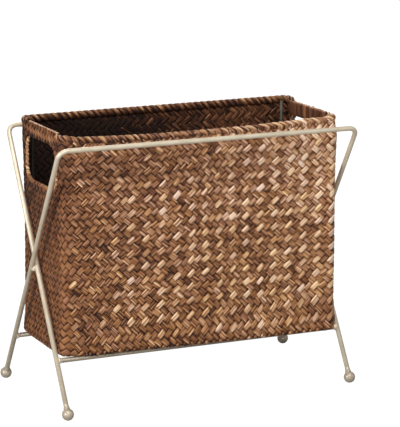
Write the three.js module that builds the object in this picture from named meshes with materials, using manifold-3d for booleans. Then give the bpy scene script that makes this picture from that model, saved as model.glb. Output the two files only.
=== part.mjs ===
// Magazine basket: a woven basket on a bent wire frame, standing in a welded rod stand with crossed legs.
// Millimetres, +Z up. X runs along the long side, the front faces -Y, and the floor is at Z = 0.
// The origin lies on the floor under the middle of the stand.

import * as THREE from 'three';
import { mergeVertices } from 'three/addons/utils/BufferGeometryUtils.js';
import Module from 'manifold-3d';

const wasm = await Module();
wasm.setup();

// Fits
const seatGap = 0.3; // between pieces that rest on or wrap each other
const cutOverrun = 5; // how far a cutting tool runs past what it cuts
const buttGap = 0.6; // between the two ends of a wire that is bent into a loop
const mergeShare = 0.001; // of the seat gap: points closer than this are one point

// Basket
const basketLength = 380;
const basketDepth = 138;
const basketHeight = 283;
const cornerRadius = 10;
const wallThickness = 4;
const baseThickness = 4;
const baseGap = 1; // round the base, where its strips turn up into the walls

// Braided rim and the wrapping of the handle openings
const braidThickness = 2.2;
const braidHeight = 10;
const braidEdgeRadius = 2;
const wrapThickness = 1.8;
const wrapEdgeRadius = 1.2;
const bindingLap = 2.4; // how far the edge binding laps over the wall
const openingWidth = 96;
const openingHeight = 53;
const openingCornerRadius = 16;
const openingDrop = 21; // from the top of the rim down to the opening

// Wire frame inside the basket
const wireDiameter = 4;
const openingWireDiameter = 3;
const crossWireSpacing = 124;
const crossWireCount = 2;
const uprightSetback = 2; // from the end of a corner's bend to the middle of its upright

// Stand
const rodDiameter = 6.2;
const rodBendRadius = 12;
const ballDiameter = 15;
const ballSocketDepth = 4;
const topBarHeight = 338;
const topBarClearance = 27.4; // between the basket's long wall and each top bar
const footSpread = 206; // between front and rear ball centres
const legClearance = 4.9; // between the basket's ends and the inner legs
const stretcherInset = 2.3; // from the basket's long walls in to the middle of each stretcher
const weldLength = 7;
const weldWidth = 5;
const weldHeight = 6;

// Facets
const rodSides = 16;
const wireSides = 12;
const bendSteps = 6;
const cornerSteps = 6;
const edgeSteps = 2;
const ballSides = 24;
const ballRings = 16;
const weldSides = 12;
const weldRings = 8;

// Places worked out from the sizes above
const rodRadius = rodDiameter / 2;
const ballRadius = ballDiameter / 2;
const wireRadius = wireDiameter / 2;
const openingWireRadius = openingWireDiameter / 2;
const halfLength = basketLength / 2;
const halfDepth = basketDepth / 2;
const topBarHalfDepth = halfDepth + topBarClearance + rodRadius;
const footHalfDepth = footSpread / 2;
const legSlope = (footHalfDepth + topBarHalfDepth) / (topBarHeight - ballRadius);
const crossingHeight = topBarHeight - topBarHalfDepth / legSlope;
const stretcherHalfDepth = halfDepth - stretcherInset;
const stretcherHeight = topBarHeight - (topBarHalfDepth + stretcherHalfDepth) / legSlope;
const underside = stretcherHeight + rodRadius + seatGap;
const rimTop = underside + basketHeight;
const rimWireHeight = rimTop - braidThickness - seatGap - wireRadius;
const wallTop = rimWireHeight - wireRadius - seatGap;
const slotTop = rimWireHeight + wireRadius + seatGap;
const slotWidth = wallThickness + 2 * seatGap;
const bandTop = slotTop + wrapThickness;
const openingTop = rimTop - openingDrop;
const openingMiddle = openingTop - openingHeight / 2;
const openingWireOffset = wrapThickness + seatGap + openingWireRadius;
const wallCutOffset = openingWireOffset + openingWireRadius + seatGap;
const bindingReach = wallCutOffset + bindingLap;
const wrapWidth = slotWidth + 2 * wrapThickness;
const wallMiddle = wallThickness / 2;
const baseWireInset = wallThickness + seatGap + wireRadius;
const baseWireHeight = underside + baseThickness + seatGap + wireRadius;
const innerFrameHalf = halfLength + legClearance + rodRadius;
const outerFrameHalf = innerFrameHalf + rodDiameter + seatGap;

// Materials
const seagrass = new THREE.MeshStandardMaterial({ color: 0x8a6242, roughness: 0.8, metalness: 0 });
const paleSeagrass = new THREE.MeshStandardMaterial({ color: 0xa9855f, roughness: 0.78, metalness: 0 });
const darkWire = new THREE.MeshStandardMaterial({ color: 0x5c5852, roughness: 0.5, metalness: 0.6 });
const creamPaint = new THREE.MeshStandardMaterial({ color: 0xc6bca2, roughness: 0.4, metalness: 0.2 });

// Solids for cutting and joining

function toSolid(geometry) {
  const bare = geometry.clone();
  bare.deleteAttribute('normal');
  bare.deleteAttribute('uv');
  const merged = mergeVertices(bare, seatGap * mergeShare);
  const mesh = new wasm.Mesh({
    numProp: 3,
    vertProperties: new Float32Array(merged.attributes.position.array),
    triVerts: new Uint32Array(merged.index.array),
  });
  return new wasm.Manifold(mesh);
}

function toGeometry(solid) {
  const mesh = solid.getMesh();
  const geometry = new THREE.BufferGeometry();
  geometry.setAttribute('position', new THREE.BufferAttribute(new Float32Array(mesh.vertProperties), 3));
  geometry.setIndex(new THREE.BufferAttribute(new Uint32Array(mesh.triVerts), 1));
  return geometry;
}

function cutBy(geometry, tools) {
  let solid = toSolid(geometry);
  for (const tool of tools) {
    solid = solid.subtract(toSolid(tool));
  }
  return toGeometry(solid);
}

// Outlines and prisms

function roundedOutline(halfWidth, halfHeight, radius) {
  const points = [];
  const corners = [[1, 1, 0], [-1, 1, 1], [-1, -1, 2], [1, -1, 3]];
  for (const [sx, sy, quarter] of corners) {
    for (let step = 0; step <= cornerSteps; step += 1) {
      const angle = (quarter + step / cornerSteps) * Math.PI / 2;
      const x = sx * (halfWidth - radius) + radius * Math.cos(angle);
      const y = sy * (halfHeight - radius) + radius * Math.sin(angle);
      points.push(new THREE.Vector2(x, y));
    }
  }
  return points;
}

function boxOutline(x0, y0, x1, y1) {
  return [[x0, y0], [x1, y0], [x1, y1], [x0, y1]].map(([x, y]) => new THREE.Vector2(x, y));
}

// The basket's outline moved outwards by an offset
function basketOutline(offset) {
  return roundedOutline(halfLength + offset, halfDepth + offset, cornerRadius + offset);
}

// The handle opening's outline moved outwards by an offset
function openingOutline(offset) {
  const halfHeight = openingHeight / 2;
  return roundedOutline(openingWidth / 2 + offset, halfHeight + offset, openingCornerRadius + offset);
}

// A prism along Z between two heights, with an optional hole and rounded upper and lower edges
function prism(outline, bottom, top, hole = null, edge = 0) {
  const shape = new THREE.Shape(outline);
  if (hole) {
    shape.holes.push(new THREE.Path(hole));
  }
  const geometry = new THREE.ExtrudeGeometry(shape, {
    depth: top - bottom - 2 * edge,
    bevelEnabled: edge > 0,
    bevelThickness: edge,
    bevelSize: edge,
    bevelOffset: -edge,
    bevelSegments: edgeSteps,
  });
  geometry.translate(0, 0, bottom + edge);
  return geometry;
}

// A prism through the right end wall: the outline lies in Y and Z around the opening's middle
function endWallPrism(outline, width, hole = null, edge = 0) {
  const geometry = prism(outline, -width / 2, width / 2, hole, edge);
  geometry.rotateX(Math.PI / 2);
  geometry.rotateZ(Math.PI / 2);
  geometry.translate(halfLength - wallMiddle, 0, openingMiddle);
  return geometry;
}

// Bent rods and wires

class StationPath extends THREE.Curve {
  constructor(stations) {
    super();
    this.stations = stations;
  }

  stationAt(share) {
    return this.stations[Math.round(share * (this.stations.length - 1))];
  }

  getPoint(share, target = new THREE.Vector3()) {
    return target.copy(this.stationAt(share).point);
  }

  getPointAt(share, target = new THREE.Vector3()) {
    return this.getPoint(share, target);
  }

  getTangentAt(share, target = new THREE.Vector3()) {
    return target.copy(this.stationAt(share).tangent);
  }
}

// Straight runs between the corners, with an arc of the bend radius at each inner corner
function bentStations(corners, bendRadius) {
  const last = corners.length - 1;
  const startRun = corners[1].clone().sub(corners[0]).normalize();
  const endRun = corners[last].clone().sub(corners[last - 1]).normalize();
  const stations = [{ point: corners[0], tangent: startRun }];
  for (let index = 1; index < last; index += 1) {
    const before = corners[index].clone().sub(corners[index - 1]).normalize();
    const after = corners[index + 1].clone().sub(corners[index]).normalize();
    const turn = before.angleTo(after);
    const axis = before.clone().cross(after).normalize();
    const setback = bendRadius * Math.tan(turn / 2);
    const arcStart = corners[index].clone().addScaledVector(before, -setback);
    const centre = arcStart.clone().addScaledVector(axis.clone().cross(before), bendRadius);
    for (let step = 0; step <= bendSteps; step += 1) {
      const angle = turn * step / bendSteps;
      const point = arcStart.clone().sub(centre).applyAxisAngle(axis, angle).add(centre);
      const tangent = before.clone().applyAxisAngle(axis, angle);
      stations.push({ point, tangent });
    }
  }
  stations.push({ point: corners[last], tangent: endRun });
  return stations;
}

function bentRod(corners, bendRadius, radius, sides) {
  const section = [];
  for (let side = 0; side < sides; side += 1) {
    const angle = 2 * Math.PI * side / sides;
    section.push(new THREE.Vector2(radius * Math.cos(angle), radius * Math.sin(angle)));
  }
  const stations = bentStations(corners, bendRadius);
  return new THREE.ExtrudeGeometry(new THREE.Shape(section), {
    steps: stations.length - 1,
    bevelEnabled: false,
    extrudePath: new StationPath(stations),
  });
}

function straightRod(start, end, radius, sides) {
  return bentRod([start, end], 0, radius, sides);
}

// A wire bent into a rounded rectangle, given in its plane by half sizes, butted on its lower or rear side
function wireLoopCorners(halfWidth, halfHeight, place) {
  const butt = buttGap / 2;
  const flat = [
    [butt, -halfHeight], [halfWidth, -halfHeight], [halfWidth, halfHeight],
    [-halfWidth, halfHeight], [-halfWidth, -halfHeight], [-butt, -halfHeight],
  ];
  return flat.map(([across, up]) => place(across, up));
}

const group = new THREE.Group();
const stand = new THREE.Group();
const basket = new THREE.Group();
group.add(stand, basket);

function addPiece(parent, name, geometry, material) {
  const mesh = new THREE.Mesh(geometry, material);
  mesh.name = name;
  parent.add(mesh);
  return mesh;
}

// Stand: two bent rods, each a top bar on one side and two feet on the other, crossing at the ends

function legEnd(x, footY, barY) {
  const foot = new THREE.Vector3(x, footY, ballRadius);
  const knee = new THREE.Vector3(x, barY, topBarHeight);
  const up = knee.sub(foot).normalize();
  return foot.addScaledVector(up, ballRadius - ballSocketDepth);
}

function frameRod(frameHalf, barSide) {
  const barY = barSide * topBarHalfDepth;
  const footY = -barSide * footHalfDepth;
  const corners = [
    legEnd(-frameHalf, footY, barY),
    new THREE.Vector3(-frameHalf, barY, topBarHeight),
    new THREE.Vector3(frameHalf, barY, topBarHeight),
    legEnd(frameHalf, footY, barY),
  ];
  return bentRod(corners, rodBendRadius, rodRadius, rodSides);
}

addPiece(stand, 'front_bar_frame', frameRod(outerFrameHalf, -1), creamPaint);
addPiece(stand, 'rear_bar_frame', frameRod(innerFrameHalf, 1), creamPaint);

// Stretchers: straight rods welded between the legs of each frame, which carry the basket

function stretcher(frameHalf, side) {
  const end = frameHalf - rodRadius - seatGap;
  const y = side * stretcherHalfDepth;
  const left = new THREE.Vector3(-end, y, stretcherHeight);
  const right = new THREE.Vector3(end, y, stretcherHeight);
  return straightRod(left, right, rodRadius, rodSides);
}

addPiece(stand, 'front_stretcher', stretcher(innerFrameHalf, -1), creamPaint);
addPiece(stand, 'rear_stretcher', stretcher(outerFrameHalf, 1), creamPaint);

// Ball feet: each has a blind socket for the end of its leg

function ballFoot(x, footY, barY) {
  const centre = new THREE.Vector3(x, footY, ballRadius);
  const up = new THREE.Vector3(x, barY, topBarHeight).sub(centre).normalize();
  const ball = new THREE.SphereGeometry(ballRadius, ballSides, ballRings);
  ball.rotateX(Math.PI / 2);
  ball.translate(centre.x, centre.y, centre.z);
  const socketFloor = centre.clone().addScaledVector(up, ballRadius - ballSocketDepth - seatGap);
  const socketMouth = centre.clone().addScaledVector(up, ballRadius + cutOverrun);
  const socket = straightRod(socketFloor, socketMouth, rodRadius + seatGap, rodSides);
  return cutBy(ball, [socket]);
}

const feet = [
  ['front_left_ball_foot', -innerFrameHalf, -1],
  ['front_right_ball_foot', innerFrameHalf, -1],
  ['rear_left_ball_foot', -outerFrameHalf, 1],
  ['rear_right_ball_foot', outerFrameHalf, 1],
];
for (const [name, x, side] of feet) {
  addPiece(stand, name, ballFoot(x, side * footHalfDepth, -side * topBarHalfDepth), creamPaint);
}

// Crossing welds: a bead under each crossing, between the outer and the inner leg

function straightLeg(x, barSide, radius) {
  const foot = new THREE.Vector3(x, -barSide * footHalfDepth, ballRadius);
  const knee = new THREE.Vector3(x, barSide * topBarHalfDepth, topBarHeight);
  return straightRod(foot, knee, radius, rodSides);
}

function crossingWeld(side) {
  const bead = new THREE.SphereGeometry(1, weldSides, weldRings);
  bead.scale(weldLength / 2, weldWidth / 2, weldHeight / 2);
  const middle = (innerFrameHalf + outerFrameHalf) / 2;
  bead.translate(side * middle, 0, crossingHeight - rodRadius - weldHeight / 2);
  const outerLeg = straightLeg(side * outerFrameHalf, -1, rodRadius + seatGap);
  const innerLeg = straightLeg(side * innerFrameHalf, 1, rodRadius + seatGap);
  return cutBy(bead, [outerLeg, innerLeg]);
}

addPiece(stand, 'left_crossing_weld', crossingWeld(-1), creamPaint);
addPiece(stand, 'right_crossing_weld', crossingWeld(1), creamPaint);

// Woven walls: one band of weave round all four sides, with an opening cut in each end

// The walls between two heights, made thicker by a gap on every side
function wallRing(gap, bottom, top) {
  const ring = prism(basketOutline(gap), bottom, top, basketOutline(-wallThickness - gap));
  const rightCut = endWallPrism(openingOutline(wallCutOffset - gap), wallThickness + 2 * cutOverrun);
  const leftCut = rightCut.clone().rotateZ(Math.PI);
  return cutBy(ring, [rightCut, leftCut]);
}

addPiece(basket, 'woven_walls', wallRing(0, underside, wallTop), seagrass);

// The room that the pieces wrapped round the walls and the rim wire leave for them
const wallRoom = wallRing(seatGap, underside - cutOverrun, slotTop);

// Woven base: the floor of the basket, inside the foot of the walls

const baseOutline = basketOutline(-wallThickness - baseGap);
addPiece(basket, 'woven_base', prism(baseOutline, underside, underside + baseThickness), seagrass);

// Base wire: a loop on the edge of the base, with cross wires between its long sides

function baseWire() {
  const place = (across, up) => new THREE.Vector3(-across, -up, baseWireHeight);
  const corners = wireLoopCorners(halfLength - baseWireInset, halfDepth - baseWireInset, place);
  return bentRod(corners, cornerRadius - baseWireInset, wireRadius, wireSides);
}

addPiece(basket, 'base_wire', baseWire(), darkWire);

for (let index = 0; index < crossWireCount; index += 1) {
  const x = (index - (crossWireCount - 1) / 2) * crossWireSpacing;
  const reach = halfDepth - baseWireInset - wireRadius - seatGap;
  const front = new THREE.Vector3(x, -reach, baseWireHeight);
  const rear = new THREE.Vector3(x, reach, baseWireHeight);
  const wire = straightRod(front, rear, wireRadius, wireSides);
  addPiece(basket, `base_cross_wire_${index + 1}`, wire, darkWire);
}

// Rim wire: a loop on top of the walls, inside the braid and the handle wraps

function rimWire() {
  const place = (across, up) => new THREE.Vector3(-across, -up, rimWireHeight);
  const corners = wireLoopCorners(halfLength - wallMiddle, halfDepth - wallMiddle, place);
  return bentRod(corners, cornerRadius - wallMiddle, wireRadius, wireSides);
}

addPiece(basket, 'rim_wire', rimWire(), darkWire);

// Corner uprights: straight wires beside the corners, from the base wire to beside the rim wire

const uprightX = halfLength - cornerRadius - uprightSetback;
const uprightY = halfDepth - baseWireInset;

function uprightAt(sx, sy, bottom, top, radius) {
  const foot = new THREE.Vector3(sx * uprightX, sy * uprightY, bottom);
  const tip = new THREE.Vector3(sx * uprightX, sy * uprightY, top);
  return straightRod(foot, tip, radius, wireSides);
}

const uprightPlaces = [
  ['front_left', -1, -1], ['front_right', 1, -1], ['rear_left', -1, 1], ['rear_right', 1, 1],
];
for (const [name, sx, sy] of uprightPlaces) {
  const bottom = baseWireHeight + wireRadius + seatGap;
  const upright = uprightAt(sx, sy, bottom, rimWireHeight + wireRadius, wireRadius);
  addPiece(basket, `${name}_upright`, upright, darkWire);
}

// Rim braids: saddles over the rim wire and the top of the walls, ending at the handle wraps

function rimBraid(side) {
  const outer = braidThickness + seatGap;
  const inner = -wallThickness - outer;
  const bottom = rimTop - braidHeight;
  const ring = prism(basketOutline(outer), bottom, rimTop, basketOutline(inner), braidEdgeRadius);
  const endY = side * (openingWidth / 2 + seatGap);
  const farY = -side * (halfDepth + cutOverrun);
  const farX = halfLength + cutOverrun;
  const away = boxOutline(-farX, Math.min(endY, farY), farX, Math.max(endY, farY));
  const otherHalf = prism(away, bottom - cutOverrun, rimTop + cutOverrun);
  const uprightRoom = [-1, 1].map((sx) => (
    uprightAt(sx, side, bottom - cutOverrun, slotTop, wireRadius + seatGap)
  ));
  return cutBy(ring, [wallRoom, otherHalf, ...uprightRoom]);
}

addPiece(basket, 'front_rim_braid', rimBraid(-1), paleSeagrass);
addPiece(basket, 'rear_rim_braid', rimBraid(1), paleSeagrass);

// Opening wires: a loop round each handle opening, in the middle of the wall's thickness

function openingWire(radius) {
  const x = halfLength - wallMiddle;
  const place = (across, up) => new THREE.Vector3(x, across, openingMiddle + up);
  const halfWidth = openingWidth / 2 + openingWireOffset;
  const halfHeight = openingHeight / 2 + openingWireOffset;
  const loop = wireLoopCorners(halfWidth, halfHeight, place);
  return bentRod(loop, openingCornerRadius + openingWireOffset, radius, wireSides);
}

// Handle wraps: strip wound round the rim wire, the wall and the opening wire, over each opening

function handleBlock(halfWidth, bottom, top, width, edge) {
  const outline = boxOutline(-halfWidth, bottom - openingMiddle, halfWidth, top - openingMiddle);
  return endWallPrism(outline, width, null, edge);
}

function handleWrap() {
  const block = handleBlock(openingWidth / 2, openingTop, bandTop, wrapWidth, wrapEdgeRadius);
  const slotBottom = openingTop + wrapThickness;
  const slot = handleBlock(openingWidth / 2 + cutOverrun, slotBottom, slotTop, slotWidth, 0);
  return cutBy(block, [slot, wallRoom, openingWire(openingWireRadius + seatGap)]);
}

// Edge bindings: channels over the wire and the wall's edge, down the sides and along the foot

function edgeBinding() {
  const ring = endWallPrism(openingOutline(bindingReach), wrapWidth, openingOutline(0), wrapEdgeRadius);
  const slot = endWallPrism(openingOutline(wallCutOffset), slotWidth, openingOutline(wrapThickness));
  const wrapHalf = openingWidth / 2 + seatGap;
  const wrapRoom = handleBlock(wrapHalf, openingTop - seatGap, rimTop, wrapWidth + cutOverrun, 0);
  return cutBy(ring, [slot, wallRoom, wrapRoom]);
}

for (const [name, turn] of [['left', Math.PI], ['right', 0]]) {
  addPiece(basket, `${name}_opening_wire`, openingWire(openingWireRadius), darkWire).rotation.z = turn;
  addPiece(basket, `${name}_handle_wrap`, handleWrap(), seagrass).rotation.z = turn;
  addPiece(basket, `${name}_edge_binding`, edgeBinding(), paleSeagrass).rotation.z = turn;
}

export default group;
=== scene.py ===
# Magazine basket: a twill basket woven over a wire frame, which stands in a welded stand of painted rod.
# Metres, +Z up. X runs along the long side, the front faces -Y, and the floor is at Z = 0.

import math

import bpy
import numpy as np
from mathutils import Matrix


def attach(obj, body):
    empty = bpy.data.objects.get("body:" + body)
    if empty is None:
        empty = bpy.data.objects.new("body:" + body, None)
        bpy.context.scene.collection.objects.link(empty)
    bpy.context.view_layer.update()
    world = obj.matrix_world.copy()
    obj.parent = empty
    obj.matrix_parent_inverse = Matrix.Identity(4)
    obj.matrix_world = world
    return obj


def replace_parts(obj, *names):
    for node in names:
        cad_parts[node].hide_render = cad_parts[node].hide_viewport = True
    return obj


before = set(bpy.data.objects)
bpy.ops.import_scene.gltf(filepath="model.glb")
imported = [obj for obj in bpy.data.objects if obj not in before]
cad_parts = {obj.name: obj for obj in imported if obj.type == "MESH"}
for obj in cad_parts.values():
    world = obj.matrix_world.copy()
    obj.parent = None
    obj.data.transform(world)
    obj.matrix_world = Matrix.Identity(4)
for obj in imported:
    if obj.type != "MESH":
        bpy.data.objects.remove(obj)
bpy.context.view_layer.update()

# Camera: a long lens a good two and a half metres away, a little above the basket and left of its front. It
# was solved from the corners of the basket and the ends of the rods.
camera_place = (-1.1479, -2.5372, 0.8317)
camera_turn = math.radians(24.886)
camera_tilt = math.radians(-12.31)
camera_roll = math.radians(0.16)
camera_lens = 185.6
camera_reach = 60
camera_data = bpy.data.cameras.new("camera")
camera_data.lens = camera_lens
camera_data.clip_end = camera_reach
camera = bpy.data.objects.new("camera", camera_data)
bpy.context.scene.collection.objects.link(camera)
camera.matrix_world = (
    Matrix.Translation(camera_place)
    @ Matrix.Rotation(-camera_turn, 4, "Z")
    @ Matrix.Rotation(math.pi / 2 + camera_tilt, 4, "X")
    @ Matrix.Rotation(camera_roll, 4, "Z")
)
bpy.context.scene.camera = camera
bpy.context.scene.view_settings.view_transform = "Standard"

# Studio: a white room of soft light. The key lamp is low on the left and throws the legs' shadows on the left
# end. A broad soft one is above the camera, a small one reaches under the basket, a weak one is on the right
# and one behind. The camera sees floor and room as white.


class Shade:
    """An output of a node tree. Arithmetic on it adds Math nodes, and node() adds any other node."""

    def __init__(self, tree, socket=None):
        self.tree = tree
        self.socket = socket

    def node(self, kind, inputs=(), out=0, stops=(), **settings):
        made = self.tree.nodes.new("ShaderNode" + kind)
        for name, value in settings.items():
            setattr(made, name, value)
        for index, (place, colour) in enumerate(stops):
            ramp = made.color_ramp.elements
            element = ramp[index] if index < 2 else ramp.new(place)
            element.position = place
            element.color = (*colour, 1)
        for name, value in dict(inputs).items():
            if isinstance(value, Shade):
                self.tree.links.new(value.socket, made.inputs[name])
            else:
                made.inputs[name].default_value = value
        return Shade(self.tree, made.outputs[out])

    def maths(self, operation, *values):
        return self.node("Math", enumerate(values), operation=operation)

    def mixed(self, low, high):
        """The colour low where this is 0 and high where it is 1."""
        return self.node("Mix", {0: self, 6: low, 7: high}, out=2, data_type="RGBA")

    def spread(self, low, high):
        """0 up to low, 1 from high on, and a straight slope between."""
        return self.node("MapRange", {"Value": self, "From Min": low, "From Max": high})

    def __add__(self, other):
        return self.maths("ADD", self, other)

    def __sub__(self, other):
        return self.maths("SUBTRACT", self, other)

    def __rsub__(self, other):
        return self.maths("SUBTRACT", other, self)

    def __mul__(self, other):
        return self.maths("MULTIPLY", self, other)

    __radd__ = __add__
    __rmul__ = __mul__


def shaded(material):
    """A Shade on a fresh material's tree, whose Principled shader stays as Blender makes it."""
    material.use_nodes = True
    return Shade(material.node_tree)


def finish_surface(material, **sockets):
    """Feeds the material's Principled shader: spaces in a socket's name are written as underscores."""
    shader = material.node_tree.nodes["Principled BSDF"]
    for name, value in sockets.items():
        socket = shader.inputs[name.replace("_", " ")]
        if isinstance(value, Shade):
            material.node_tree.links.new(value.socket, socket)
        else:
            socket.default_value = value


floor_half = 14.0
floor_grey = 0.42
floor_white = 1.41
floor_glow = 0.70
room_light = 0.10
room_in_gloss = 0.25

floor_mesh = bpy.data.meshes.new("floor")
floor_mesh.from_pydata(
    [(-floor_half, -floor_half, 0), (floor_half, -floor_half, 0), (floor_half, floor_half, 0),
     (-floor_half, floor_half, 0)],
    [], [(0, 1, 2, 3)],
)
floor = bpy.data.objects.new("floor", floor_mesh)
bpy.context.scene.collection.objects.link(floor)

floor_paint = bpy.data.materials.new("pale_floor")
floor_start = shaded(floor_paint)
seen = floor_start.node("LightPath", out="Is Camera Ray")
glow = floor_start.node("Emission", {"Color": (1, 1, 1, 1), "Strength": floor_white})
matt = floor_start.node("BsdfDiffuse", {"Color": (floor_grey, floor_grey, floor_grey, 1)})
floor_mix = floor_start.node("MixShader", {0: seen * floor_glow, 1: matt, 2: glow})
floor_out = floor_paint.node_tree.nodes["Material Output"]
floor_paint.node_tree.links.new(floor_mix.socket, floor_out.inputs["Surface"])
floor_mesh.materials.append(floor_paint)

room = bpy.data.worlds.new("room")
room.use_nodes = True
room_start = Shade(room.node_tree)
camera_ray = room_start.node("LightPath", out="Is Camera Ray")
glossy_ray = room_start.node("LightPath", out="Is Glossy Ray")
clear_ray = room_start.node("LightPath", out="Is Transmission Ray")
reflected = glossy_ray.maths("MAXIMUM", glossy_ray * room_in_gloss, clear_ray)
shows = camera_ray.maths("MAXIMUM", camera_ray, reflected)
strength = shows * (1 - room_light) + room_light
backdrop = room.node_tree.nodes["Background"]
backdrop.inputs["Color"].default_value = (1, 1, 1, 1)
room.node_tree.links.new(strength.socket, backdrop.inputs["Strength"])
bpy.context.scene.world = room

lamps = {
    "key_lamp": ((-2.42, -0.79, 0.74), 0.3, 35.0),
    "soft_lamp": ((-0.57, -1.56, 2.33), 1.2, 47.0),
    "low_lamp": ((-0.75, -2.2, 0.16), 0.3, 6.5),
    "fill_lamp": ((1.82, -1.53, 0.97), 0.9, 5.5),
    "back_lamp": ((0.2, 1.9, 1.3), 1.0, 26.0),
}
aim = np.array([0.0, 0.0, 0.2])
for name, (place, size, watts) in lamps.items():
    lamp_data = bpy.data.lights.new(name, "AREA")
    lamp_data.shape = "DISK"
    lamp_data.size = size
    lamp_data.energy = watts
    lamp = bpy.data.objects.new(name, lamp_data)
    bpy.context.scene.collection.objects.link(lamp)
    back = np.array(place) - aim
    back = back / np.linalg.norm(back)
    side = np.cross((0, 0, 1), back)
    side = side / np.linalg.norm(side)
    over = np.cross(back, side)
    lamp.matrix_world = Matrix(
        [(side[i], over[i], back[i], place[i]) for i in range(3)] + [(0, 0, 0, 1)]
    )

# Stand rods: round steel rod, 6.2 mm, bent cold. Each of the two frames is one rod: a top bar and, at each
# end, a leg that runs down under the basket to a foot on the other side. The stretchers butt on the legs, and
# their paint is darker: painted shade for the basket's shadow over them.
rod_radius = 0.0031
bend_radius = 0.012
bar_height = 0.338
bar_depth = 0.0995
foot_depth = 0.103
ball_radius = 0.0075
inner_half = 0.198
outer_half = 0.2045
stretcher_depth = 0.0667
stretcher_bite = 0.4
leg_slope = (foot_depth + bar_depth) / (bar_height - ball_radius)
stretcher_height = bar_height - (bar_depth + stretcher_depth) / leg_slope


def unit(vectors):
    """Vectors divided by their lengths."""
    return vectors / np.linalg.norm(vectors, axis=-1, keepdims=True)


def bent_line(corners, bend, steps=14):
    """Straight runs with an arc at each inner corner. An arc's point is its centre plus the bend radius
    times a direction that turns evenly from the square of one run to the square of the next."""
    corners = np.array(corners, float)
    runs = unit(np.diff(corners, axis=0))
    points = [corners[:1]]
    for corner, before, after in zip(corners[1:-1], runs[:-1], runs[1:]):
        turn = math.acos(float(before @ after))
        inward = unit(after - before)
        centre = corner + inward * bend / math.cos(turn / 2)
        first = unit(corner - before * bend * math.tan(turn / 2) - centre)
        last = unit(corner + after * bend * math.tan(turn / 2) - centre)
        share = np.linspace(0, 1, steps + 1)[:, None]
        arc = (np.sin((1 - share) * turn) * first + np.sin(share * turn) * last) / math.sin(turn)
        points.append(centre + bend * arc)
    points.append(corners[-1:])
    return np.concatenate(points)


def full_turn(count):
    """Angles spread evenly round a circle, from 0 to a step before a full turn."""
    return np.linspace(0, 2 * math.pi, count, endpoint=False)


def swept(line, across, radius, sides=28):
    """Rings round a flat line: each ring is the line's point plus the radius times the cosine along the
    across direction and the sine along the direction square to it and to the line."""
    runs = unit(np.diff(line, axis=0))
    along = unit(np.concatenate([runs[:1], runs[:-1] + runs[1:], runs[-1:]]))
    across = np.broadcast_to(unit(np.array(across, float)), line.shape)
    upward = np.cross(along, across)
    angle = full_turn(sides)[None, :, None]
    return line[:, None] + radius * (np.cos(angle) * across[:, None] + np.sin(angle) * upward[:, None])


def placed(name, mesh, material, body):
    """A piece with that mesh in the scene, in its finish and on its body."""
    mesh.materials.append(material)
    piece = bpy.data.objects.new(name, mesh)
    bpy.context.scene.collection.objects.link(piece)
    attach(piece, body)
    return piece


def surface(name, rings, material, body, closed=False):
    """A mesh on a grid of rings, each joined to the next, with a point at the middle of each end ring, or
    with the last ring joined to the first. Its faces point outwards if the rings turn right-handed."""
    count, sides = rings.shape[:2]
    points = rings.reshape(-1, 3)
    ring = np.arange(count if closed else count - 1)[:, None]
    side = np.arange(sides)[None, :]
    here, there = ring * sides, (ring + 1) % count * sides
    faces = np.stack([here + side, here + (side + 1) % sides, there + (side + 1) % sides, there + side], -1)
    faces = faces.reshape(-1, 4).tolist()
    if not closed:
        ends = np.array([rings[0].mean(axis=0), rings[-1].mean(axis=0)])
        start, end, last = len(points), len(points) + 1, (count - 1) * sides
        faces += [((k + 1) % sides, k, start) for k in range(sides)]
        faces += [(last + k, last + (k + 1) % sides, end) for k in range(sides)]
        points = np.concatenate([points, ends])
    mesh = bpy.data.meshes.new(name)
    mesh.from_pydata(points, [], faces)
    mesh.polygons.foreach_set("use_smooth", np.ones(len(faces), bool))
    return placed(name, mesh, material, body)


def rod_paint(name, low, high):
    """Champagne coat with a soft gloss, whose colour and gloss drift a little, with a fine grain."""
    paint = bpy.data.materials.new(name)
    start = shaded(paint)
    place = start.node("TexCoord", out="Object")
    cloud = start.node("TexNoise", {"Vector": place, "Scale": 60.0, "Detail": 3.0})
    grain = start.node("TexNoise", {"Vector": place, "Scale": 1400.0, "Detail": 2.0})
    bump = start.node("Bump", {"Height": grain, "Strength": 0.12, "Distance": 0.0002})
    finish_surface(
        paint, Base_Color=cloud.spread(0.35, 0.7).mixed((*low, 1), (*high, 1)),
        Roughness=cloud.spread(0.2, 0.9) * 0.12 + 0.38, Metallic=0.3, Normal=bump,
    )
    return paint


cream_paint = rod_paint("champagne_paint", (0.67, 0.57, 0.42), (0.77, 0.67, 0.51))
# The stretchers' darker paint is painted shade for the basket's shadow over them.
stretcher_shade_paint = rod_paint("shaded_champagne_paint", (0.27, 0.22, 0.165), (0.33, 0.275, 0.21))


def rod_frame(half, bar_side):
    """Foot, knee, knee and foot of one bent rod, with its top bar at the front (-1) or rear (1)."""
    bar, foot = bar_side * bar_depth, -bar_side * foot_depth
    return [(-half, foot, ball_radius), (-half, bar, bar_height),
            (half, bar, bar_height), (half, foot, ball_radius)]


for name, half, bar_side in (("front_bar_rod", outer_half, -1), ("rear_bar_rod", inner_half, 1)):
    corners = rod_frame(half, bar_side)
    square = np.cross(np.subtract(corners[1], corners[0]), (1, 0, 0))
    rings = swept(bent_line(corners, bend_radius), square, rod_radius)
    rod = surface(name, rings, cream_paint, "stand")
    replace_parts(rod, name.replace("_rod", "_frame"))

for name, half, bar_side in (("front_stretcher", inner_half, -1), ("rear_stretcher", outer_half, 1)):
    reach = half - rod_radius * stretcher_bite
    depth = bar_side * stretcher_depth
    line = np.array([(-reach, depth, stretcher_height), (reach, depth, stretcher_height)])
    rod = surface(name + "_rod", swept(line, (0, 1, 0), rod_radius), stretcher_shade_paint, "stand")
    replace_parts(rod, name)

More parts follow.
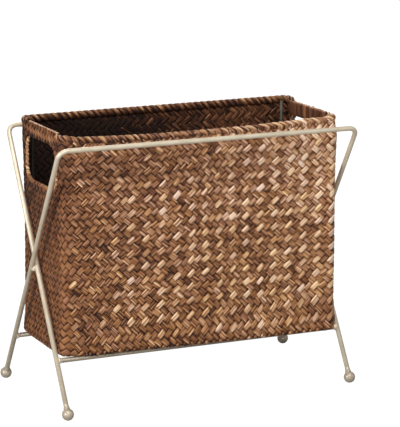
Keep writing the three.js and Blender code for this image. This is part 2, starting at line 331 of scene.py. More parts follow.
# Ball feet: turned steel balls, 15 mm, each welded on a leg's end, with a small collar of weld round the leg.
# Their paint is a little darker than the rods'.
ball_paint = rod_paint("ball_champagne_paint", (0.45, 0.38, 0.285), (0.53, 0.46, 0.35))
ball_start = 0.06
ball_end = math.pi * 0.86
collar_rise = 0.0011
collar_length = 0.0024
collar_reach = 0.007
end_taper = 0.06


def turned(place, axis, reach, radius, sides=40):
    """Rings about an axis through a place: at each reach along the axis, a circle of that radius."""
    axis = unit(np.array(axis, float))
    first = unit(np.cross(axis, (0, 0, 1) if abs(axis[2]) < 0.9 else (1, 0, 0)))
    second = np.cross(axis, first)
    angle = full_turn(sides)[None, :, None]
    circle = np.cos(angle) * first + np.sin(angle) * second
    return np.array(place) + reach[:, None, None] * axis + radius[:, None, None] * circle


for name, half, side in (
    ("front_left_ball_foot", -inner_half, -1), ("front_right_ball_foot", inner_half, -1),
    ("rear_left_ball_foot", -outer_half, 1), ("rear_right_ball_foot", outer_half, 1),
):
    centre = np.array([half, side * foot_depth, ball_radius])
    leg = np.array([half, -side * bar_depth, bar_height]) - centre
    height = -ball_radius * np.cos(np.linspace(ball_start, ball_end, 44))
    top = height[-1]
    reach = np.concatenate([height, np.linspace(top + 0.0003, top + collar_reach, 14)])
    collar = rod_radius + collar_rise * np.exp(-((reach - top) / collar_length).clip(0) ** 2)
    ball = np.sqrt((ball_radius ** 2 - reach ** 2).clip(0))
    radius = np.where(reach <= top, ball, collar * (1 - end_taper * (reach > reach[-2])))
    rings = turned(centre, leg, reach, radius)
    foot = surface(name.replace("_foot", ""), rings, ball_paint, "stand")
    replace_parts(foot, name)

# Welds: a bead in the lower V of each crossing, between the outer and the inner leg, and a fillet of weld
# where each stretcher butts on its legs. They are painted with the rods.
crossing_height = bar_height - bar_depth / leg_slope
bead_half = np.array([0.0042, 0.0027, 0.0036])
bead_drop = rod_radius * 1.5
fillet_rise = 0.0013
fillet_length = 0.0036
fillet_bite = 0.0012

for name, side in (("left_crossing_weld", -1), ("right_crossing_weld", 1)):
    polar = np.linspace(0.05, math.pi - 0.05, 22)[:, None]
    angle = full_turn(32)[None, :]
    lump = 1 + 0.07 * np.sin(3 * angle + 5 * polar) * np.sin(polar) + 0.05 * np.sin(7 * polar)
    level = np.sin(polar)
    ball = np.stack([level * np.cos(angle), level * np.sin(angle), -np.cos(polar) + 0 * angle], -1)
    middle = np.array([side * (inner_half + outer_half) / 2, 0, crossing_height - bead_drop])
    rings = middle + ball * lump[..., None] * bead_half
    bead = surface(name.replace("_weld", "_bead"), rings, cream_paint, "stand")
    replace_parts(bead, name)

for name, half, bar_side in (("front", inner_half, -1), ("rear", outer_half, 1)):
    for end, side in (("left", -1), ("right", 1)):
        reach = np.linspace(-fillet_bite, fillet_length, 16)
        share = (reach / fillet_length).clip(0, 1)
        radius = (rod_radius + fillet_rise * (1 - share) ** 2) * (1 - end_taper * (share >= 1))
        butt = (side * (half - rod_radius), bar_side * stretcher_depth, stretcher_height)
        rings = turned(butt, (-side, 0, 0), reach, radius, 28)
        surface(f"{name}_{end}_stretcher_weld", rings, cream_paint, "stand")

# Woven walls: flat twill of dried leaf strip, 6.5 mm wide, laid on the bias. Each strip passes over two and
# under two of the strips that cross it, so the floats lie in level rows. Every second rising strip is pale.
# At the foot the strips turn in under the base, and along the front and rear they hang over the stretchers.
wall_half_length = 0.190
wall_half_depth = 0.069
wall_corner = 0.008
corner_full = 0.0021
corner_drawn = 0.0022
rear_drawn = 0.0008
corner_spread = 0.013
strip_count = 102
strip_slope = 0.865
strip_thickness = 0.0013
strip_lift = 0.0008
strip_cover = 1.08
strip_bundles = 4
float_fullness = 2.2
row_height = 0.2994
row_start = 0.0034
wall_foot = 0.0714
wall_head = 0.3493
head_on_bands = 0.3502
rim_crest = 0.3531
foot_bend = 0.0055
tight_bend = 0.0012
corner_bend = 0.0022
turned_in = 0.0055
hang_least = 0.001
hang_most = 0.0042
head_flare = 0.0010
foot_flare = 0.0030
opening_half_width = 0.048
opening_half_height = 0.0265
opening_corner = 0.016
opening_height = 0.30565
opening_cut = 0.0057
opening_place = 0.0015
band_weave_foot = opening_height + opening_half_height - 0.002
band_weave_half = 0.050
band_cut = 0.0040

side_runs = np.array([wall_half_length - wall_corner, wall_half_depth - wall_corner])


def rounded_line(around, halves, corner):
    """A rounded rectangle, by the length around it from the middle of its lower side: the matching point of
    its core, where the corners are drawn in to their arcs' centres, and the outward direction."""
    runs = np.array(halves) - corner
    arc = corner * math.pi / 2
    lengths = [runs[0], arc, 2 * runs[1], arc, 2 * runs[0], arc, 2 * runs[1], arc, runs[0]]
    ends = np.concatenate([[0], np.cumsum(lengths)])
    around = np.mod(around, ends[-1])
    turn = np.interp(around, ends, np.array([0, 0, 1, 1, 2, 2, 3, 3, 4, 4]) * math.pi / 2)
    wide = np.interp(around, ends, np.array([0, 1, 1, 1, 1, -1, -1, -1, -1, 0]) * runs[0])
    high = np.interp(around, ends, np.array([-1, -1, -1, 1, 1, 1, 1, -1, -1, -1]) * runs[1])
    return wide, high, np.sin(turn), -np.cos(turn)


def wall_outline(around):
    """The walls' rounded rectangle, by the length around it from the middle of the front."""
    return rounded_line(around, (wall_half_length, wall_half_depth), wall_corner)


wall_girth = 4 * side_runs.sum() + 2 * math.pi * wall_corner
strip_pitch = wall_girth / strip_count
strip_step = strip_pitch * strip_slope / 2
lean_across = math.sin(math.atan(strip_slope))
lean_up = math.cos(math.atan(strip_slope))
strip_width = strip_pitch * lean_across


def smooth_step(value, low, high):
    """0 below low and 1 above high, with a smooth slope between."""
    share = ((value - low) / (high - low)).clip(0, 1)
    return share * share * (3 - 2 * share)


def foot_shape(wide, high, out_high):
    """The foot's bend and hang around the walls. The bend is wide under the ends, wider at the left corners
    and tight along the front and rear, where the foot hangs down, more so to the right."""
    along = smooth_step(np.abs(out_high), 0.72, 0.97)
    from_left = wall_half_length - wall_corner + wide
    tight = along * smooth_step(from_left, 0.002, 0.03)
    corner = np.exp(-(np.hypot(wide + side_runs[0], np.abs(high) - side_runs[1]) / 0.006) ** 2)
    bend = foot_bend + corner_bend * corner - (foot_bend - tight_bend) * tight
    hang = (hang_least + hang_most * np.sin(math.pi / 2 * ((wide + 0.12) / 0.31).clip(0, 1))) * tight
    return bend, hang, tight


def drawn(around, rise):
    """The weave is drawn a little off its even lay: slow waves shift it along the walls and up them, by whole
    numbers of waves round the basket, and fade out at the foot."""
    turn = 2 * math.pi * around / wall_girth
    free = smooth_step(rise, 0, 0.04)
    along = 0.0022 * np.sin(5 * turn + 14 * rise + 0.4) + 0.0006 * np.sin(17 * turn - 31 * rise + 2.0)
    up = 0.0011 * np.sin(6 * turn + 1.1) + 0.0005 * np.sin(19 * turn + 24 * rise + 0.2)
    return around + along * free, rise + up * free


def wall_point(around, rise, lift):
    """A point of the walls: around them, rise up their profile and lift out of their middle surface. The
    profile is a flat turned-in hem, a quarter circle and an upright, which flares at its foot and head. The
    corners are out of true: full on the right, and drawn in at half height on the left, more so in front."""
    around, rise = drawn(around, rise)
    wide, high, out_wide, out_high = wall_outline(around)
    bend, hang, _ = foot_shape(wide, high, out_high)
    angle = (rise / bend).clip(-math.pi / 2, 0)
    inset = bend * (1 - np.cos(angle)) + (-rise - bend * math.pi / 2).clip(0, None)
    drop = (hang + foot_bend - bend) * (1 - smooth_step(rise, 0, 0.05))
    height = wall_foot + foot_bend + bend * np.sin(angle) + rise.clip(0, None) - drop
    flare = head_flare * np.exp(-((height - 0.325) / 0.018) ** 2)
    flare = flare + foot_flare * np.exp(-((height - 0.068) / 0.022) ** 2)
    wave = 0.0003 * np.sin(around * 31 + 1.3) * np.sin(height * 37 + around * 9)
    off_corner = (side_runs[0] - np.abs(wide)) ** 2 + (side_runs[1] - np.abs(high)) ** 2
    drawn_in = np.where(high > 0, rear_drawn, corner_drawn) * smooth_step(height, 0.08, 0.13)
    full = np.where(wide > 0, corner_full, -drawn_in)
    full = full * np.exp(-off_corner / corner_spread ** 2) * (1 - smooth_step(height, 0.32, 0.345))
    out = (wall_corner - inset + flare + wave + full + lift * np.cos(angle)).clip(0, None)
    return np.stack([wide + out_wide * out, high + out_high * out, height + lift * np.sin(angle)], -1)


rim_places = (-0.182, -0.171, -0.15, -0.11, -0.06, 0.03, 0.07, 0.10, 0.13, 0.15, 0.175, 0.182)
rim_heights = (-0.0018, -0.0042, -0.0054, -0.0067, -0.0078, -0.0075, -0.0068, -0.0056, -0.0048, -0.0036,
               -0.0034, -0.0012)


def rim_rise(wide, high):
    """How far the rim stands above its nominal height. The front rim dips between its corners, most of all
    left of its middle, and the rear rim is a little high, more so to the right."""
    front = np.interp(wide, rim_places, rim_heights)
    rear = 0.0034 + 0.004 * wide
    share = smooth_step(high, -side_runs[1], side_runs[1])
    return front + (rear - front) * share


def crossing_lift(phase):
    """A strip's height over one repeat of four crossings: up for two and down for two, with full tops."""
    return np.tanh(float_fullness * np.cos((phase - 1) * math.pi / 2)) / math.tanh(float_fullness)


def past_rounded(points, halves, corner):
    """How far points lie outside a rounded rectangle: their distance outside its core, less its corner's
    radius. It is negative inside."""
    past = np.abs(points) - halves + corner
    return np.linalg.norm(past.clip(0, None), axis=-1) + past.max(axis=-1).clip(None, 0) - corner


def opening_distance(points):
    """How far points on the end walls lie outside the hand openings' rounded outline."""
    opening = points[..., 1:] - (opening_place, opening_height)
    outside = past_rounded(opening, np.array([opening_half_width, opening_half_height]), opening_corner)
    on_end = np.abs(points[..., 0]) > wall_half_length - wall_corner
    return np.where(on_end, outside, 1.0)


def strip_mesh(name, rings, kept, material, body, slot, **values):
    """Strips as closed flattened tubes. rings holds strip, sample, side and place; kept says which samples
    of a strip are there. The first that isn't shrinks to a point, which closes the strip's cut end."""
    sides = rings.shape[2]
    rings = np.where(kept[..., None, None], rings, rings.mean(axis=2, keepdims=True))
    point = np.arange(rings[..., 0].size).reshape(rings.shape[:3])
    point = np.where(kept[..., None], point, point[..., :1])
    after = (np.arange(sides) + 1) % sides
    here, there = point[:, :-1], point[:, 1:]
    faces = np.stack([here, here[..., after], there[..., after], there], -1)
    faces = faces[(kept[:, 1:] | kept[:, :-1])[..., None] & np.ones(sides, bool)]
    held = faces != np.roll(faces, 1, axis=1)
    used, corners = np.unique(faces[held], return_inverse=True)
    mesh = bpy.data.meshes.new(name)
    mesh.vertices.add(len(used))
    mesh.vertices.foreach_set("co", rings.reshape(-1, 3)[used].astype(np.float32).reshape(-1))
    mesh.loops.add(len(corners))
    mesh.loops.foreach_set("vertex_index", corners.reshape(-1).astype(np.int32))
    mesh.polygons.add(len(faces))
    starts = np.concatenate([[0], np.cumsum(held.sum(axis=1))[:-1]])
    mesh.polygons.foreach_set("loop_start", starts.astype(np.int32))
    mesh.polygons.foreach_set("use_smooth", np.ones(len(faces), bool))
    mesh.update(calc_edges=True)
    for title, value in values.items():
        spread = np.broadcast_to(value, rings.shape[:3]).reshape(-1)[used]
        mesh.attributes.new(title, "FLOAT", "POINT").data.foreach_set("value", spread.astype(np.float32))
    return placed(name, mesh, material, body)


def leaf_material(name, stops):
    """Dried leaf strip. Each float has its own tone and tint, with streaks and fibres along it, and painted
    shade
    in the crevices: at the strip's edges and where it dives under another, and all over the side inside.
    The strip's own attributes say its tone, tint, length along it (run), place across it, depth (1 on top and
    -1 below), how streaky it is, and the seed that sets its streaks apart from the next float's."""
    leaf = bpy.data.materials.new(name)
    start = shaded(leaf)
    tone, tint, run, across, depth, streaky, seed = (
        start.node("Attribute", out="Fac", attribute_name=title)
        for title in ("tone", "tint", "run", "across", "depth", "streaky", "seed")
    )

    def strip_noise(length, breadth, apart, detail, roughness):
        flow = start.node("CombineXYZ", {"X": run * length, "Y": across * breadth, "Z": seed * apart})
        return start.node(
            "TexNoise", {"Vector": flow, "Scale": 1.0, "Detail": detail, "Roughness": roughness}
        )

    patch = strip_noise(34.0, 1.6, 37.0, 3.0, 0.6)
    streak = strip_noise(26.0, 4.2, 51.0, 2.0, 0.6)
    fibre = strip_noise(45.0, 13.0, 61.0, 3.0, 0.65)
    edge = (across * 2.0).maths("ABSOLUTE", across * 2.0)
    below = 0.0 - depth
    # Painted shade: darker at the strip's edges, where it dives under another, and all over its side inside.
    crevice_shade = edge.spread(0.86, 1.0) * 0.12 + below.spread(-0.93, 0.1) * 0.54
    lines = ((streak - 0.5) * 1.8 + (fibre - 0.5) * 0.9) * streaky
    shade = tone + (patch - 0.5) * 0.45 + lines - crevice_shade
    ramp = start.node("ValToRGB", {"Fac": shade}, out="Color", stops=stops)
    cast = tint.mixed((1.0, 0.945, 1.09, 1), (1.07, 0.97, 0.82, 1))
    colour = start.node("Mix", {0: 1.0, 6: ramp, 7: cast}, out=2, data_type="RGBA", blend_type="MULTIPLY")
    bump = start.node("Bump", {"Height": streak * 0.7 + fibre * 0.5, "Strength": 0.7, "Distance": 0.0006})
    finish_surface(
        leaf, Base_Color=colour, Roughness=fibre * 0.3 + 0.5 + below.spread(0.1, 0.6) * 0.4,
        Specular_IOR_Level=0.3, Normal=bump,
    )
    return leaf


brown_leaf = leaf_material("brown_leaf", (
    (0.0, (0.014, 0.005, 0.002)), (0.25, (0.13, 0.046, 0.016)), (0.5, (0.30, 0.137, 0.056)),
    (0.75, (0.57, 0.335, 0.17)), (1.0, (0.90, 0.71, 0.49)),
))

flat_across = np.array([-0.5, -0.43, -0.16, 0.16, 0.43, 0.5, 0.22, -0.22])
flat_lift = np.array([0.02, 0.36, 0.5, 0.5, 0.36, 0.02, -0.4, -0.4])
repeat_samples = np.array([0, 0.36, 0.66, 1, 1.34, 1.64, 2, 2.36, 2.66, 3, 3.34, 3.64])
rng = np.random.default_rng(7)


def floats_of(repeats, count, spread):
    """A random value for each float: one for each strip and each repeat of four crossings."""
    first = int(np.floor(repeats.min()))
    values = rng.normal(0, spread, (count, int(np.ceil(repeats.max())) - first + 2))
    place = np.broadcast_to(np.floor(repeats).astype(int) - first, (count, repeats.shape[1], 1))[..., 0]
    return np.take_along_axis(values, place, axis=1)[..., None]


def along_repeats(low, high):
    """Sample places between two lengths, in crossings: twelve to a repeat, close where a strip dives."""
    repeats = np.arange(math.floor(low / strip_step / 4) - 1, math.ceil(high / strip_step / 4) + 1)
    places = (1 + 4 * repeats[:, None] + repeat_samples).reshape(-1)
    return places[(places > low / strip_step) & (places < high / strip_step)][None, :, None]


rise_low = -foot_bend * math.pi / 2 - turned_in
first_row = row_height - wall_foot - foot_bend
crossings = along_repeats(rise_low - first_row, wall_head + 0.006 - row_height)
row_rise = crossings * strip_step
rise = row_rise + first_row
number = np.arange(strip_count)[:, None, None]
every_second = number % 2 == 0

# The scatter from strip to strip and from float to float, and the tones of the walls' two families of strips.
width_scatter = 0.06
thickness_scatter = 0.1
strip_drift = 0.0004
float_tilt = 0.16
wall_tone = 0.51
rising_pale = 0.31
falling_pale = 0.20
float_tones = 0.075
strip_tones = 0.04
float_tints = 0.22
strip_tints = 0.2
run_scale = 1.4

for family, lean in (("rising", 1), ("falling", -1)):
    phase = crossings + 2 - lean
    depth = crossing_lift(phase)
    own_width = strip_width * strip_cover * (1 + width_scatter * rng.standard_normal((strip_count, 1, 1)))
    wander = rng.uniform(25, 60, (strip_count, 1, 1)), rng.uniform(0, 6, (strip_count, 1, 1))
    across = flat_across * own_width + strip_drift * np.sin(rise * wander[0] + wander[1])
    foot_place = row_start + strip_pitch * (number + (lean < 0) / 2)
    around = foot_place + lean * row_rise / strip_slope + across * lean_across
    level = rise - lean * across * lean_up
    thickness = strip_thickness * (1 + thickness_scatter * rng.standard_normal((strip_count, 1, 1)))
    tilt = float_tilt * floats_of(phase / 4, strip_count, 1.0) * flat_across
    rings = wall_point(around, level, depth * strip_lift + (flat_lift + tilt * (depth > 0)) * thickness)
    middle = rings.mean(axis=2)
    wide, high, _, out_high = wall_outline(around.mean(axis=2))
    tight = foot_shape(wide, high, out_high)[2]
    lowest = (1 - tight) * rise_low - tight * tight_bend * math.pi / 2
    over_band = (middle[..., 2] > band_weave_foot) & (np.abs(middle[..., 1]) < band_weave_half)
    head = np.where(over_band, head_on_bands, wall_head + rim_rise(wide, high))
    kept = (opening_distance(middle) > np.where(over_band, band_cut, opening_cut)) & (rise[..., 0] > lowest)
    kept &= middle[..., 2] < head
    kept[:, [0, -1]] = False

    # Where on the walls a sample is, each from 0 to 1, apart from east, which runs from -1 to 1.
    east, height = (middle[..., :1] / wall_half_length).clip(-1, 1), middle[..., 2:]
    on_left = 1 - smooth_step(east, -0.99, -0.9)
    to_right = smooth_step(east, 0.3, 0.65) * smooth_step(height, 0.2, 0.27)
    to_rear = smooth_step(middle[..., 1:2], -0.02, 0.05)
    high_left = smooth_step(height, 0.27, 0.3) * (1 - smooth_step(east, -0.1, 0.25))
    front_left = np.exp(-((wide + side_runs[0]) ** 2 + (high + side_runs[1]) ** 2) / 0.007 ** 2)[..., None]

    # Outside, the pale strips and tone by place, with painted light and shade; inside, painted shade over the
    # left and lower part.
    if lean > 0:
        paleness = smooth_step(east, -0.88, -0.5) * (1 - 0.75 * high_left)
        paleness = paleness * (0.55 + 0.45 * smooth_step(height, 0.09, 0.13))
        pale = rising_pale * paleness * every_second - 0.06 * high_left
    else:
        pale = falling_pale * to_right * every_second - 0.02 + 0.10 * high_left
    # Tone by place, with painted light and shade: lighter towards the right, more so high up, and a little
    # darker at upper left; painted shade over the left end, more so high up and towards its rear, and along
    # the foot; a painted highlight on the front-left corner, where it turns to the lamp. The weave over the
    # left band is lighter.
    place_tone_and_shade = 0.07 * east - 0.015 + 0.055 * to_right - 0.01 * high_left
    place_tone_and_shade = place_tone_and_shade - (0.06 + (0.08 + 0.10 * to_rear) * smooth_step(height, 0.18, 0.26)) * on_left
    place_tone_and_shade = place_tone_and_shade + 0.10 * front_left * (1 - smooth_step(height, 0.24, 0.30))
    place_tone_and_shade = place_tone_and_shade + 0.12 * over_band[..., None] * on_left
    place_tone_and_shade = place_tone_and_shade - 0.12 * (1 - smooth_step(height, 0.069, 0.077))
    # Painted shade on the inner side: its floats are dark, darker below the rim and towards the left.
    inner_painted_shade = 0.19 + 0.48 * (1 - smooth_step(height, 0.33, 0.35))
    inside = 0.66 - inner_painted_shade * (1 - smooth_step(east, -0.9, 0.5))
    own = floats_of(phase / 4, strip_count, float_tones)
    tone = wall_tone + pale + place_tone_and_shade + own * (1 - 0.7 * on_left)
    tone = tone + strip_tones * rng.standard_normal((strip_count, 1, 1)) * (1 - 0.5 * on_left)
    tone = tone + (inside + 0.3 * (tone - 0.5 - pale) - tone) * smooth_step(-depth, 0, 0.4)
    tint = 0.5 + floats_of(phase / 4, strip_count, float_tints)
    tint = tint + strip_tints * rng.standard_normal((strip_count, 1, 1))
    tint = tint + 1.6 * (0.22 - height) + 0.2 * on_left
    run = rise * run_scale + rng.uniform(0, 3, (strip_count, 1, 1))
    streaky = 1 - 0.75 * on_left
    seed = own + 0.3 * number
    for bundle, which in enumerate(np.array_split(np.arange(strip_count), strip_bundles), 1):
        strips = strip_mesh(
            f"{family}_wall_strips_{bundle}", rings[which], kept[which], brown_leaf, "basket", "seagrass",
            tone=tone[which], tint=tint[which], run=run[which], across=flat_across, depth=depth,
            streaky=streaky[which], seed=seed[which],
        )
        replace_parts(strips, "woven_walls")

# Woven base: the same twill laid flat, inside the foot of the walls and on the turned-in hem. Its strips run
# out to the walls on all sides.
base_height = 0.0734
base_halves = np.array([0.1885, 0.0690])
base_corner = 0.010
base_lift = 0.0005
base_thickness = 0.0010
base_tone = 0.44

base_count = int(2 * (base_halves[0] + base_halves[1] / strip_slope) / strip_pitch)
crossings = along_repeats(-base_halves[1], base_halves[1])
forward = crossings * strip_step
base_number = np.arange(base_count)[:, None, None] - (base_count - 1) / 2
for family, lean in (("rising", 1), ("falling", -1)):
    phase = crossings + 2 - lean
    depth = crossing_lift(phase)
    across = flat_across * strip_width * strip_cover
    wide = strip_pitch * (base_number + (lean < 0) / 2) + lean * forward / strip_slope + across * lean_across
    high = forward - lean * across * lean_up
    lifted = base_height + depth * base_lift + flat_lift * base_thickness + 0 * wide
    rings = np.stack([wide, high + 0 * wide, lifted], -1)
    kept = past_rounded(rings.mean(axis=2)[..., :2], base_halves, base_corner) < 0
    kept[:, [0, -1]] = False
    tone = base_tone + floats_of(phase / 4, base_count, 0.07) + 0.05 * rng.standard_normal((base_count, 1, 1))
    # The depth is given turned over, so the leaf's painted shade falls on the base's upper side, inside the
    # basket.
    strips = strip_mesh(
        f"{family}_base_strips", rings, kept, brown_leaf, "basket", "seagrass",
        tone=tone, tint=0.5 + floats_of(phase / 4, base_count, float_tints), across=flat_across, depth=-depth,
        streaky=1.0, seed=tone, run=forward * run_scale + rng.uniform(0, 3, (base_count, 1, 1)),
    )
    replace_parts(strips, "woven_base")

# Rim braid: thick twisted strands of leaf plaited round the rim wire and the head of the walls. The ends of
# the front and the rear length turn the corners and are tucked under the handle bands. Outside, the strands
# run down to the right over the crest and, towards the right end, turn back below it as chevrons.
rim_inset = 0.0010
rim_half_out = 0.0023
rim_half_up = 0.0036
rim_strands = 2
rim_lay = 0.0184
rim_chevron = 0.0040
strand_width = 0.0092
strand_thickness = 0.0031
rim_height = rim_crest - rim_half_up - strand_thickness * 0.5
rim_end = 0.0483
rim_samples = 40
wound_tilt = 0.18
tan_strand = 0.35
brown_strand = 0.02
rear_strands = -0.12

round_across = np.array([-0.5, -0.34, 0, 0.34, 0.5, 0.25, -0.25])
round_lift = np.array([0, 0.36, 0.5, 0.36, 0, -0.4, -0.4])
round_depth = np.array([0, 0.45, 0.92, 0.45, 0, 0, 0])


def wound_rings(frame_at, reach, section, strands, lay, width, thickness, per_turn, chevron=0.0):
    """Strip wound round a core. A strand's middle goes along by lay in each turn of its angle, and turns down
    on the outer side, where a chevron moves its outermost point on. Its ring spreads along the core by its
    width, stands out by its thickness, and laps a little over the turn before. Gives the rings, which samples
    lie within the reach to either side, and the turns."""
    count = int(math.ceil(2 * reach / lay * per_turn)) + per_turn + 3
    strand = np.arange(strands)[:, None, None]
    turns = (np.arange(count) - per_turn / 2 - 1)[None, :, None] / per_turn + 0 * strand
    middle = -reach + lay * (turns + strand / strands)
    angle = -2 * math.pi * turns
    off_side = np.abs(np.arcsin(np.sin(angle))) / (math.pi / 2)
    pointed = chevron * smooth_step(middle, 0.0, 0.08) * (1 - off_side)
    middle = middle + pointed * np.cos(angle).clip(0, None) ** 0.3
    along = middle + round_across * width
    out, up, turn_out, turn_up = section(angle, middle)
    stand = thickness * (round_lift + wound_tilt * round_across)
    point, outward, upward = frame_at(along)
    rings = point + outward * (out + turn_out * stand)[..., None] + upward * (up + turn_up * stand)[..., None]
    kept = np.abs(middle[..., 0]) < reach
    kept[:, [0, -1]] = False
    return rings, kept, turns


def ellipse(angle, half_out, half_up, along, reach, narrowing):
    """Half the width times the cosine and half the height times the sine, narrowed over the last 12 mm before
    the reach, and the same ellipse's normals."""
    narrow = 1 - narrowing * smooth_step(np.abs(along), reach - 0.012, reach)
    turn_out, turn_up = np.cos(angle) / half_out, np.sin(angle) / half_up
    normal = np.hypot(turn_out, turn_up)
    out, up = half_out * np.cos(angle) * narrow, half_up * np.sin(angle) * narrow
    return out, up, turn_out / normal, turn_up / normal


def rim_section(angle, along):
    """The core of the braid."""
    return ellipse(angle, rim_half_out, rim_half_up, along, rim_reach, 0.2)


def rim_frame(centre):
    """Gives the frame along the rim: on the walls' outline, from the middle of the front (0) or rear."""
    def frame_at(along):
        wide, high, out_wide, out_high = wall_outline(along + centre)
        out = wall_corner - rim_inset
        level = rim_height + rim_rise(wide, high)
        point = np.stack([wide + out_wide * out, high + out_high * out, level], -1)
        return point, np.stack([out_wide, out_high, 0 * wide], -1), np.array([0, 0, 1.0])
    return frame_at


pale_leaf = leaf_material("pale_leaf", (
    (0.0, (0.030, 0.010, 0.004)), (0.25, (0.15, 0.058, 0.022)), (0.5, (0.34, 0.17, 0.078)),
    (0.75, (0.62, 0.40, 0.22)), (1.0, (0.90, 0.72, 0.50)),
))
rim_reach = side_runs[0] + wall_corner * math.pi / 2 + side_runs[1] - rim_end
for name, centre in (("front", 0), ("rear", wall_girth / 2)):
    rings, kept, turns = wound_rings(rim_frame(centre), rim_reach, rim_section, rim_strands, rim_lay,
                                     strand_width, strand_thickness, rim_samples, rim_chevron)
    passes = np.floor(turns + 0.25) * rim_strands + np.arange(rim_strands)[:, None, None]
    right = smooth_step(rings.mean(axis=2)[..., :1], 0.0, 0.06)
    tan = np.where(passes % 2 == 0, tan_strand, brown_strand) * right if name == "front" else rear_strands
    own = np.take(rng.normal(0, 0.07, 60), passes.astype(int) % 60)
    up = np.sin(-2 * math.pi * turns)
    # Painted light and shade: the braid's top is lighter and its underside darker, less dark to the right.
    crest = 0.14 * smooth_step(up, 0.1, 0.8) - (0.22 - 0.10 * right) * smooth_step(-up, -0.3, 0.5)
    braid = strip_mesh(
        f"{name}_braid", rings[:, :, ::-1], kept, pale_leaf, "basket", "pale_seagrass",
        tone=0.48 + tan + crest + own, tint=0.55 + 3 * own,
        run=turns * 0.05 + rng.uniform(0, 3, (rim_strands, 1, 1)), across=round_across[::-1],
        depth=round_depth[::-1], streaky=1.0, seed=own,
    )
    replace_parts(braid, f"{name}_rim_braid")

# Handle bands: strip wound round and round the rim wire and the wire at the top of each hand opening. On the
# outside the weave of the wall runs up over the band, and only the band's top edge shows there.
band_height = 0.3427
band_half_up = 0.0090
band_half_out = 0.0026
band_place = 0.1872
band_step = 0.0092
band_lap = 1.05
band_thickness = 0.0012
band_reach = 0.0505
band_samples = 64


def band_section(angle, along):
    """A rounded box, by powers of the cosine and sine, with its normals."""
    cosine, sine = np.cos(angle), np.sin(angle)
    out = band_half_out * np.sign(cosine) * np.abs(cosine) ** 0.5
    up = band_half_up * np.sign(sine) * np.abs(sine) ** 0.5
    turn_out = np.sign(cosine) * np.abs(cosine) ** 1.5 / band_half_out
    turn_up = np.sign(sine) * np.abs(sine) ** 1.5 / band_half_up
    normal = np.hypot(turn_out, turn_up)
    return out, up, turn_out / normal, turn_up / normal


def band_frame(along):
    """The right end's frame: along Y, with outward along X."""
    point = np.stack([band_place + 0 * along, along, band_height + 0 * along], -1)
    return point, np.array([1.0, 0, 0]), np.array([0, 0, 1.0])


half_turn = np.array([-1.0, -1.0, 1.0])
for name, turned_about in (("right", 1), ("left", half_turn)):
    rings, kept, turns = wound_rings(band_frame, band_reach, band_section, 1, band_step,
                                     band_step * band_lap, band_thickness, band_samples)
    own = np.take(rng.normal(0, 0.04, 40), (turns + 8).astype(int) % 40)
    # Painted light and shade: the band's top edge is lighter and its inner side darker.
    crest = smooth_step(np.sin(-2 * math.pi * turns), 0.86, 0.98)
    within = smooth_step(-np.cos(2 * math.pi * turns), 0.0, 0.6)
    band = strip_mesh(
        f"{name}_handle_band", rings[:, :, ::-1] * turned_about, kept, brown_leaf, "basket", "seagrass",
        tone=0.40 + 0.24 * crest - 0.19 * within + own, tint=0.5 + 3 * own, run=turns * 0.05,
        across=round_across[::-1] * 0.5, depth=0.9, streaky=0.45, seed=own,
    )
    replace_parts(band, f"{name}_handle_wrap")

# Edge bindings: the same strip wound round the wire and the wall's cut edge, down the sides of each hand
# opening and along its foot. The upper ends are tucked into the handle bands.
binding_offset = 0.0036
binding_half_out = 0.0017
binding_half_up = 0.0026
binding_place = 0.1886
binding_step = 0.0064
binding_lap = 1.06
binding_thickness = 0.0014
binding_end = math.radians(58)
binding_samples = 30

binding_halves = np.array([opening_half_width, opening_half_height]) + binding_offset
binding_corner = opening_corner + binding_offset
binding_runs = binding_halves - binding_corner
binding_reach = binding_runs[0] + binding_corner * (math.pi / 2 + binding_end) + 2 * binding_runs[1]


def binding_section(angle, along):
    """The core of the binding."""
    return ellipse(angle, binding_half_out, binding_half_up, along, binding_reach, 0.3)


def binding_frame(along):
    """The right end's frame: round the opening in Y and Z, outward along X and upward out of the hole."""
    wide, high, out_wide, out_high = rounded_line(along, binding_halves, binding_corner)
    point = np.stack([binding_place + 0 * wide, wide + out_wide * binding_corner,
                      opening_height + high + out_high * binding_corner], -1)
    return point, np.array([1.0, 0, 0]), np.stack([0 * wide, out_wide, out_high], -1)


for name, turned_about in (("right", 1), ("left", half_turn)):
    rings, kept, turns = wound_rings(binding_frame, binding_reach, binding_section, 1, binding_step,
                                     binding_step * binding_lap, binding_thickness, binding_samples)
    beside = np.abs(rings.mean(axis=2)[..., 1:2]) > opening_half_width - 0.004
    own = np.take(rng.normal(0, 0.06, 60), (turns + 8).astype(int) % 60)
    binding = strip_mesh(
        f"{name}_opening_binding", rings * turned_about + (0, opening_place, 0), kept, pale_leaf, "basket",
        "pale_seagrass",
        tone=0.42 + 0.16 * beside + own, tint=0.5 + 3 * own, run=turns * 0.03, across=round_across,
        depth=0.85, streaky=0.8, seed=own,
    )
    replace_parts(binding, f"{name}_edge_binding")

# Wire frame: bare drawn steel wire, 4 mm, welded. A loop on the edge of the base with two cross wires, and an
# upright in each corner show inside the basket. The rim wire follows the braid, which hides it.
wire_radius = 0.002
wire_inset = 0.0063
wire_corner = 0.0037
wire_height = 0.076345
cross_wires = (-0.062, 0.062)
upright_half = np.array([0.178, 0.0627])
upright_top = 0.3465
wire_sides = 20
loop_samples = 240
rim_wire_inset = 0.002
rim_wire_corner = wall_corner - 0.0015
rim_wire_cover = 0.0008

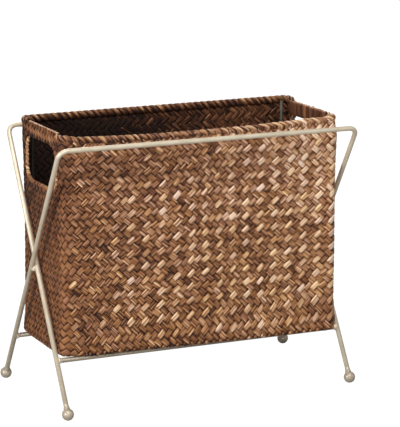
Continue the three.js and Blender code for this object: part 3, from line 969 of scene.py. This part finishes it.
steel_wire = bpy.data.materials.new("drawn_steel_wire")
wire_start = shaded(steel_wire)
wire_place = wire_start.node("TexCoord", out="Object")
wire_cloud = wire_start.node("TexNoise", {"Vector": wire_place, "Scale": 90.0, "Detail": 4.0})
wire_grain = wire_start.node("TexNoise", {"Vector": wire_place, "Scale": 2200.0, "Detail": 2.0})
wire_tone = wire_cloud.spread(0.35, 0.7).mixed((0.10, 0.085, 0.065, 1), (0.16, 0.14, 0.115, 1))
wire_up = wire_start.node("SeparateXYZ", {"Vector": wire_place}, out="Z")
wire_right = wire_start.node("SeparateXYZ", {"Vector": wire_place}, out="X")
# Painted shade: the wire is near black low in the basket and towards the left, and keeps its colour only high
# up on the right.
wire_lit_share = wire_up.spread(0.30, 0.345) * wire_right.spread(-0.15, 0.15)
wire_colour = wire_lit_share.mixed((0.018, 0.014, 0.011, 1), wire_tone)
wire_bump = wire_start.node("Bump", {"Height": wire_grain, "Strength": 0.2, "Distance": 0.0001})
finish_surface(
    steel_wire, Base_Color=wire_colour, Roughness=wire_cloud * 0.3 + 0.5, Metallic=0.2,
    Specular_IOR_Level=0.15, Normal=wire_bump,
)


def wire_loop(name, node, halves, corner, height_at):
    """A closed ring of wire on a rounded rectangle: circles of the wire's radius, square to the outline."""
    girth = 4 * (halves - corner).sum() + 2 * math.pi * corner
    around = np.linspace(0, girth, loop_samples, endpoint=False)
    wide, high, out_wide, out_high = (value[:, None] for value in rounded_line(around, halves, corner))
    angle = full_turn(wire_sides)[None, :]
    out = corner + wire_radius * np.cos(angle)
    upright = height_at(wide, high) + wire_radius * np.sin(angle)
    loop = np.stack([wide + out_wide * out, high + out_high * out, upright], -1)
    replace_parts(surface(name, loop[:, ::-1], steel_wire, "basket", closed=True), node)


def rim_wire_height(wide, high):
    """The rim's level, and no higher than the handle bands cover where it runs in them."""
    level = rim_height + rim_rise(wide, high)
    highest = band_height + band_half_up - wire_radius - rim_wire_cover
    in_band = 1 - smooth_step(np.abs(high), 0.046, 0.056)
    return level + (level.clip(None, highest) - level) * in_band


def straight_wire(name, ends, node):
    """A straight wire between two points, in place of that node."""
    rings = swept(np.array(ends), (1, 0, 0), wire_radius, wire_sides)
    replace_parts(surface(name, rings, steel_wire, "basket"), node)


outline = np.array([wall_half_length, wall_half_depth])
loop_halves = outline - wire_inset
rim_halves = outline - (rim_wire_inset, rim_inset)
wire_loop("base_loop_wire", "base_wire", loop_halves, wire_corner, lambda wide, high: wire_height + 0 * wide)
wire_loop("rim_loop_wire", "rim_wire", rim_halves, rim_wire_corner, rim_wire_height)

cross_reach = loop_halves[1] - wire_radius
for number, x in enumerate(cross_wires, 1):
    ends = [(x, -cross_reach, wire_height), (x, cross_reach, wire_height)]
    straight_wire(f"cross_wire_{number}", ends, f"base_cross_wire_{number}")

for name, face in (("front", -1), ("rear", 1)):
    for end, side in (("left", -1), ("right", 1)):
        x, y = upright_half * (side, face)
        top = upright_top + rim_rise(*(side_runs * (side, face)))
        ends = [(x, y, wire_height + wire_radius), (x, y, top)]
        straight_wire(f"{name}_{end}_corner_wire", ends, f"{name}_{end}_upright")

for name in ("left_opening_wire", "right_opening_wire"):
    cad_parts[name].data.materials.clear()
    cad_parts[name].data.materials.append(steel_wire)
